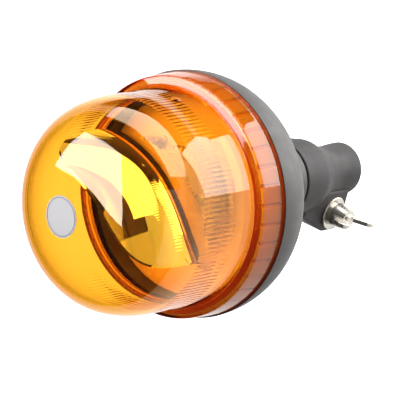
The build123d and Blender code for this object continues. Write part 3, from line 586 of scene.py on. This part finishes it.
@dataclass
class LensShell:
    """The moulded amber dome with its skirt, optic ribs, skirt ribs and pips.

    Sizes and levels are in millimetres. Spacing and rows set how finely a wall is divided.
    """

    segments: int = 720
    rim_level: float = 155.5
    skirt_radius: float = 71.0
    skirt_top_radius: float = 69.5
    skirt_top: float = 172.0
    skirt_wall: float = 2.5
    foot_radius: float = 63.8
    shoulder_level: float = 173.0
    shoulder_drop: float = 0.15
    side_radius: float = 61.6
    side_level: float = 193.5
    crown_height: float = 55.7
    exponent: float = 3.1
    wall: float = 2.6
    corner: float = 1.0
    ledge: float = 0.5
    skirt_steps: int = 4
    corner_steps: int = 4
    foot_steps: int = 3
    crown_steps: int = 34
    low_spacing: float = 2.0
    low_rows: int = 4
    rib_start: float = 183.0
    rib_spacing: float = 0.85
    rib_rows: int = 12
    inner_crown_level: float = 214.0
    inner_start: float = 213.0
    inner_spacing: float = 1.2
    inner_rows: int = 25
    inner_skirt_levels: tuple[float, ...] = (170.0, 169.4, 166.0, 162.0, 158.0, 157.0, 156.4)
    frost_reach: float = 0.1
    optic_ribs: int = 144
    optic_low: float = 185.0
    optic_high: float = 210.0
    optic_depth: float = -0.22
    skirt_ribs: int = 40
    skirt_rib_width: float = 2.4
    skirt_rib_edge: float = 0.6
    skirt_rib_low: float = 156.2
    skirt_rib_high: float = 170.2
    skirt_rib_depth: float = -0.9
    pips: tuple[tuple[float, float], ...] = ((-4.0, 189.5), (-100.0, 186.5))
    pip_width: float = 5.5
    pip_edge: float = 0.8
    pip_reach: float = 4.0
    pip_height: float = 0.3

    def outer(self) -> Profile:
        """Outline of the outer wall.

        Returns:
            Points (radius, level) from the rim up to the crown.
        """
        points: Profile = []
        for step in range(self.skirt_steps + 1):
            share = step / self.skirt_steps
            points.append((self.skirt_radius - share * (self.skirt_radius - self.skirt_top_radius),
                           self.rim_level
                           + share * (self.skirt_top - self.corner - self.rim_level)))
        for step in range(1, self.corner_steps + 1):
            angle = math.pi / 2 * step / self.corner_steps
            points.append((self.skirt_top_radius - self.corner + self.corner * math.cos(angle),
                           self.skirt_top - self.corner + self.corner * math.sin(angle)))
        shoulder = self.shoulder_level - self.shoulder_drop
        points.append((self.foot_radius + self.corner, shoulder))
        for step in range(1, self.foot_steps + 1):
            angle = math.pi / 2 * step / self.foot_steps
            points.append((self.foot_radius + self.corner - self.corner * math.sin(angle),
                           shoulder + self.corner * (1 - math.cos(angle))))
        low = self.shoulder_level + self.corner
        levels = [low + self.low_spacing * (step + 1) for step in range(self.low_rows)]
        levels += [self.rib_start + self.rib_spacing * step for step in range(self.rib_rows)]
        points += [(self.straight(level, self.foot_radius), level) for level in levels]
        curve = superellipse(self.side_radius, self.crown_height, self.exponent, self.crown_steps)
        points += [(across, self.side_level + up) for across, up in curve]
        return points

    def straight(self, level: float, foot: float) -> float:
        """Radius of a side wall at a level, between its foot and the start of the crown."""
        share = (level - self.shoulder_level) / (self.side_level - self.shoulder_level)
        return foot - share * (self.foot_radius - self.side_radius)

    def inner(self) -> Profile:
        """Outline of the inner wall.

        Returns:
            Points (radius, level) from the crown down to the rim.
        """
        radius = self.side_radius - self.wall
        height = self.crown_height - self.wall
        curve = superellipse(radius, height, self.exponent, self.crown_steps)
        crown = [(across, self.side_level + up) for across, up in reversed(curve)]
        points = [point for point in crown if point[1] > self.inner_crown_level]
        for level in [self.inner_start - self.inner_spacing * step
                      for step in range(self.inner_rows)]:
            if level > self.side_level:
                share = (level - self.side_level) / height
                across = radius * (1 - share ** self.exponent) ** (1 / self.exponent)
            else:
                across = self.straight(level, self.foot_radius - self.wall)
            points.append((across, level))
        under = self.shoulder_level - self.wall
        points.append((self.foot_radius - self.wall, under + self.corner))
        points.append((self.foot_radius - self.wall, under))
        points.append((self.skirt_top_radius - self.skirt_wall - self.ledge, under))
        for level in self.inner_skirt_levels:
            share = (level - self.rim_level) / (under - self.rim_level)
            points.append((self.skirt_radius - self.skirt_wall
                           - share * (self.skirt_radius - self.skirt_top_radius), level))
        points.append((self.skirt_radius - self.skirt_wall, self.rim_level))
        return points

    def shell(self) -> bpy.types.Object:
        """Turn both walls into one closed mesh with an attribute that tells them apart.

        Returns:
            The shell, smooth and without ribs.
        """
        outer = self.outer()
        inner = self.inner()
        rows = [(across, level, Wall.OUTER) for across, level in outer[:-1]]
        crown_row = len(rows) - 1
        rows += [(across, level, Wall.INNER) for across, level in inner[1:]]
        verts: list[Point] = []
        walls: list[float] = []
        for across, level, wall in rows:
            for index in range(self.segments):
                angle = 2 * math.pi * index / self.segments
                verts.append((across * math.cos(angle) / MM_PER_M,
                              across * math.sin(angle) / MM_PER_M, level / MM_PER_M))
                walls.append(wall.value)
        crown = len(verts)
        hollow = crown + 1
        verts += [(0.0, 0.0, outer[-1][1] / MM_PER_M), (0.0, 0.0, inner[0][1] / MM_PER_M)]
        walls += [Wall.OUTER.value, Wall.INNER.value]
        faces: list[tuple[int, ...]] = []
        for row in range(len(rows)):
            first = row * self.segments
            after = (row + 1) % len(rows) * self.segments
            for index in range(self.segments):
                beside = (index + 1) % self.segments
                if row == crown_row:
                    faces.append((first + index, first + beside, crown))
                    faces.append((after + beside, after + index, hollow))
                else:
                    faces.append((first + index, first + beside, after + beside, after + index))
        mesh = bpy.data.meshes.new("lens_shell")
        mesh.from_pydata(verts, [], faces)
        attribute = mesh.attributes.new("wall", "FLOAT", "POINT")
        attribute.data.foreach_set("value", walls)
        mesh.validate()
        return new_object("lens_shell", mesh)

    def mouldings(self) -> list[Moulding]:
        """List the optic ribs and the skirt ribs inside and the pips outside.

        Returns:
            Each set, in the order in which it is moulded.
        """
        pitch = 2 * math.pi * (self.side_radius - self.wall) / self.optic_ribs
        sets = [Moulding(Wall.INNER, self.optic_ribs, pitch, pitch / 2, self.optic_low,
                         self.optic_high, self.optic_depth),
                Moulding(Wall.INNER, self.skirt_ribs, self.skirt_rib_width, self.skirt_rib_edge,
                         self.skirt_rib_low, self.skirt_rib_high, self.skirt_rib_depth)]
        for angle, level in self.pips:
            sets.append(Moulding(Wall.OUTER, 1, self.pip_width, self.pip_edge,
                                 level - self.pip_reach, level + self.pip_reach,
                                 self.pip_height, start=angle, rounded=True))
        return sets

    def frost(self, mesh: bpy.types.Mesh) -> None:
        """Give the skirt's inner wall and the shoulder's underside their frosted finish.

        Args:
            mesh: The finished shell.
        """
        mesh.materials.append(FROSTED.material())
        frosted = len(mesh.materials) - 1
        marks = mesh.attributes["wall"].data
        top = (self.shoulder_level - self.wall + self.frost_reach) / MM_PER_M
        for face in mesh.polygons:
            if all(marks[index].value == Wall.INNER.value and mesh.vertices[index].co.z < top
                   for index in face.vertices):
                face.material_index = frosted

    def build(self) -> None:
        """Make the shell, mould its ribs and pips and hang it on the lens body."""
        piece = self.shell()
        amber = AMBER.material()
        piece.data.materials.append(amber)
        for moulding in self.mouldings():
            apply_rule(piece, moulded_rule(), moulding.settings(amber))
        close_and_orient(piece.data)
        self.frost(piece.data)
        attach(piece, Body.LENS.value)
        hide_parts("lens_dome")
        LOG.info("lens_shell: %d faces", len(piece.data.polygons))


@dataclass
class DiscRing:
    """The thin grey ring printed round the plain disc on the crown. Sizes in millimetres."""

    centre: tuple[float, float] = (-4.1, 6.4)
    inner: float = 10.35
    outer: float = 10.75
    lift: float = 0.36
    thickness: float = 0.06
    steps: int = 180

    def level(self, place: tuple[float, float], lens: LensShell) -> float:
        """Work out how high the crown is over a place.

        Args:
            place: The place across the axis.
            lens: The dome that the crown belongs to.

        Returns:
            The crown's level there.
        """
        share = math.hypot(*place) / lens.side_radius
        rise = (1 - share ** lens.exponent) ** (1 / lens.exponent)
        return lens.side_level + lens.crown_height * rise

    def build(self, lens: LensShell) -> None:
        """Lay the ring on the disc.

        Args:
            lens: The dome that the disc is stuck on.
        """
        section = ((self.inner, 0.0), (self.outer, 0.0), (self.outer, self.thickness),
                   (self.inner, self.thickness))
        sides = len(section)
        verts: list[Point] = []
        faces: list[tuple[int, ...]] = []
        for index in range(self.steps):
            angle = 2 * math.pi * index / self.steps
            for radius, extra in section:
                place = (self.centre[0] + radius * math.cos(angle),
                         self.centre[1] + radius * math.sin(angle))
                verts.append((place[0] / MM_PER_M, place[1] / MM_PER_M,
                              (self.level(place, lens) + self.lift + extra) / MM_PER_M))
            first = sides * index
            after = sides * ((index + 1) % self.steps)
            for side in range(sides):
                beside = (side + 1) % sides
                faces.append((first + side, first + beside, after + beside, after + side))
        mesh = bpy.data.meshes.new("disc_ring")
        mesh.from_pydata(verts, [], faces)
        mesh.materials.append(PRINT.material())
        piece = new_object("disc_ring", mesh)
        close_and_orient(mesh, smooth=False)
        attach(piece, Body.LENS.value)
        LOG.info("disc_ring: %d faces", len(mesh.polygons))


# Studio

def panel(width: float, height: float) -> Outline:
    """Corners of a rectangular lamp, in the order that turns its face to the beacon."""
    return ((-width / 2, -height / 2), (-width / 2, height / 2), (width / 2, height / 2),
            (width / 2, -height / 2))


@dataclass(frozen=True)
class Lamp:
    """A flat soft lamp that faces the beacon.

    The lamp lies toward its direction and its width runs across, both along the studio's right,
    up and back axes, or level where none is given. Its outline's corners are shares of its
    distance in metres. A radiance of 1 is paper white.
    """

    name: str
    toward: Point
    distance: float
    outline: Outline
    radiance: float
    across: Point | None = None


@dataclass(frozen=True)
class Card:
    """A dark sector on the floor that keeps a zone without light, in degrees and metres."""

    name: str
    start: float
    end: float
    inner: float
    outer: float
    level: float
    steps: int = 24


LAMPS = (
    Lamp("right_softbox", (0.84, 0.42, -0.22), 0.60, panel(0.83, 0.73), 5.5),
    Lamp("left_softbox", (-0.80, 0.22, 0.45), 0.80,
         ((-0.59, -0.11), (-0.33, 0.47), (0.416, 0.33), (0.355, -0.087), (0.22, -0.61)), 9.0),
    Lamp("top_softbox", (0.318, 0.926, 0.204), 0.85, panel(1.90, 0.62), 4.2,
         across=(-0.750, 0.296, -0.591)),
    Lamp("pale_wall", (0.637, -0.389, 0.665), 1.30, panel(1.45, 0.73), 0.9,
         across=(0.221, 0.919, 0.326)),
)
DARK_CARD = Card("dark_card", -30.0, 62.0, 0.62, 1.7, -0.40)


@dataclass
class Studio:
    """Camera, soft lamps, world and the pale floor. Lengths in metres, the lens in millimetres."""

    position: Point = (0.29256, -0.51571, 0.83265)
    right: Point = (0.22106, -0.73387, -0.64231)
    up: Point = (0.91908, 0.37706, -0.11450)
    back: Point = (0.32622, -0.56503, 0.75784)
    focal_length: float = 140.94
    sensor: float = 36.0
    sight: float = 50.0
    centre: Point = (0.0, 0.0, 0.19)
    room: Colour = (0.04, 0.04, 0.04, 1.0)
    backdrop: Colour = (1.0, 1.0, 1.0, 1.0)
    lamp_back: Colour = (0.02, 0.02, 0.02, 1.0)
    floor_level: float = -0.42
    floor_size: float = 9.0
    floor_colour: Colour = (0.88, 0.88, 0.88, 1.0)
    floor_roughness: float = 0.9
    floor_glow: float = 0.5
    floor_gloss: float = 0.12

    def build(self) -> None:
        """Make the camera, the world, the floor, the lamps and the dark card."""
        self.make_camera()
        self.make_world()
        self.make_floor()
        for lamp in LAMPS:
            self.make_lamp(lamp)
        self.make_card(DARK_CARD)

    def make_camera(self) -> None:
        """Stand the camera where the photograph was taken from."""
        data = bpy.data.cameras.new("camera")
        data.sensor_width = self.sensor
        data.sensor_height = self.sensor
        data.lens = self.focal_length
        data.clip_end = self.sight
        camera = bpy.data.objects.new("camera", data)
        bpy.context.scene.collection.objects.link(camera)
        turn = Matrix((self.right, self.up, self.back)).transposed()
        camera.matrix_world = Matrix.Translation(self.position) @ turn.to_4x4()
        bpy.context.scene.camera = camera

    def direction(self, right: float, up: float, back: float) -> Vector:
        """Turn a direction given along the studio's three axes into the model's frame."""
        return Vector(self.right) * right + Vector(self.up) * up + Vector(self.back) * back

    def make_lamp(self, lamp: Lamp) -> None:
        """Hang a lamp. The camera doesn't see it.

        Args:
            lamp: Its place, outline and brightness.
        """
        aim = self.direction(*lamp.toward).normalized()
        side = Vector(self.up).cross(aim).normalized()
        if lamp.across is not None:
            side = self.direction(*lamp.across)
            side = (side - aim * side.dot(aim)).normalized()
        rise = aim.cross(side)
        middle = Vector(self.centre) + aim * lamp.distance
        corners = [tuple(middle + (side * right + rise * high) * lamp.distance)
                   for right, high in lamp.outline]
        mesh = bpy.data.meshes.new(lamp.name)
        mesh.from_pydata(corners, [], [tuple(range(len(corners)))])
        mesh.materials.append(self.lamp_material(lamp))
        hung = new_object(lamp.name, mesh)
        hung.visible_camera = False

    def lamp_material(self, lamp: Lamp) -> bpy.types.Material:
        """Make the material of a lamp, which glows on the side that faces the beacon.

        Args:
            lamp: The lamp, whose name it takes.

        Returns:
            The material.
        """
        material = bpy.data.materials.new(lamp.name)
        material.use_nodes = True
        nodes = material.node_tree.nodes
        links = material.node_tree.links
        glow = nodes.new("ShaderNodeEmission")
        glow.inputs["Strength"].default_value = lamp.radiance
        dark = nodes.new("ShaderNodeBsdfDiffuse")
        dark.inputs["Color"].default_value = self.lamp_back
        geometry = nodes.new("ShaderNodeNewGeometry")
        mix = nodes.new("ShaderNodeMixShader")
        links.new(geometry.outputs["Backfacing"], mix.inputs[0])
        links.new(glow.outputs[0], mix.inputs[1])
        links.new(dark.outputs[0], mix.inputs[2])
        links.new(mix.outputs[0], nodes["Material Output"].inputs["Surface"])
        return material

    def make_card(self, card: Card) -> None:
        """Lay a dark card. The camera doesn't see it.

        Args:
            card: Its sector and its height.
        """
        verts: list[Point] = []
        for step in range(card.steps + 1):
            angle = math.radians(card.start + (card.end - card.start) * step / card.steps)
            for radius in (card.inner, card.outer):
                verts.append((radius * math.cos(angle), radius * math.sin(angle), card.level))
        faces = [(2 * step, 2 * step + 1, 2 * step + 3, 2 * step + 2)
                 for step in range(card.steps)]
        mesh = bpy.data.meshes.new(card.name)
        mesh.from_pydata(verts, [], faces)
        mesh.materials.append(CARD.material())
        laid = new_object(card.name, mesh)
        laid.visible_camera = False

    def make_world(self) -> None:
        """Make the dim room, which the camera sees as white."""
        world = bpy.data.worlds.new("studio")
        bpy.context.scene.world = world
        world.use_nodes = True
        nodes = world.node_tree.nodes
        links = world.node_tree.links
        backdrop = nodes["Background"]
        backdrop.inputs["Color"].default_value = self.backdrop
        room = nodes.new("ShaderNodeBackground")
        room.inputs["Color"].default_value = self.room
        light_path = nodes.new("ShaderNodeLightPath")
        mix = nodes.new("ShaderNodeMixShader")
        links.new(light_path.outputs["Is Camera Ray"], mix.inputs[0])
        links.new(room.outputs[0], mix.inputs[1])
        links.new(backdrop.outputs[0], mix.inputs[2])
        links.new(mix.outputs[0], nodes["World Output"].inputs["Surface"])

    def make_floor(self) -> None:
        """Lay the pale floor far below the hanging beacon."""
        half = self.floor_size / 2
        mesh = bpy.data.meshes.new("floor")
        corners = [(-half, -half), (half, -half), (half, half), (-half, half)]
        mesh.from_pydata([(x, y, self.floor_level) for x, y in corners], [], [(0, 1, 2, 3)])
        mesh.materials.append(self.floor_material())
        new_object("floor", mesh)

    def floor_material(self) -> bpy.types.Material:
        """Make the floor's material, white to the camera and through clear pieces.

        Returns:
            The material. It glows by floor_glow for every ray and by floor_gloss more in gloss.
        """
        material = bpy.data.materials.new("floor_paper")
        material.use_nodes = True
        nodes = material.node_tree.nodes
        links = material.node_tree.links
        shader = nodes["Principled BSDF"]
        shader.inputs["Base Color"].default_value = self.floor_colour
        shader.inputs["Roughness"].default_value = self.floor_roughness
        glow = nodes.new("ShaderNodeEmission")
        light_path = nodes.new("ShaderNodeLightPath")
        seen = nodes.new("ShaderNodeMath")
        seen.operation = "MULTIPLY_ADD"
        seen.inputs[1].default_value = self.floor_gloss
        through = nodes.new("ShaderNodeMath")
        through.operation = "ADD"
        total = nodes.new("ShaderNodeMath")
        total.operation = "ADD"
        total.inputs[1].default_value = self.floor_glow
        total.use_clamp = True
        add = nodes.new("ShaderNodeAddShader")
        links.new(light_path.outputs["Is Glossy Ray"], seen.inputs[0])
        links.new(light_path.outputs["Is Camera Ray"], seen.inputs[2])
        links.new(seen.outputs[0], through.inputs[0])
        links.new(light_path.outputs["Is Transmission Ray"], through.inputs[1])
        links.new(through.outputs[0], total.inputs[0])
        links.new(total.outputs[0], glow.inputs["Strength"])
        links.new(shader.outputs["BSDF"], add.inputs[0])
        links.new(glow.outputs["Emission"], add.inputs[1])
        links.new(add.outputs["Shader"], nodes["Material Output"].inputs["Surface"])
        return material


def main() -> None:
    """Dress every CAD node, add the scene's own pieces and build the studio."""
    logging.basicConfig(level=logging.INFO)
    scene = bpy.context.scene
    scene.view_settings.view_transform = "Standard"
    for node, finish in NODE_FINISHES.items():
        dress(node, finish)
    LOG.info("dressed %d nodes", len(NODE_FINISHES))
    lens = LensShell()
    lens.build()
    DiscRing().build(lens)
    Studio().build()


if __name__ == "__main__":
    main()
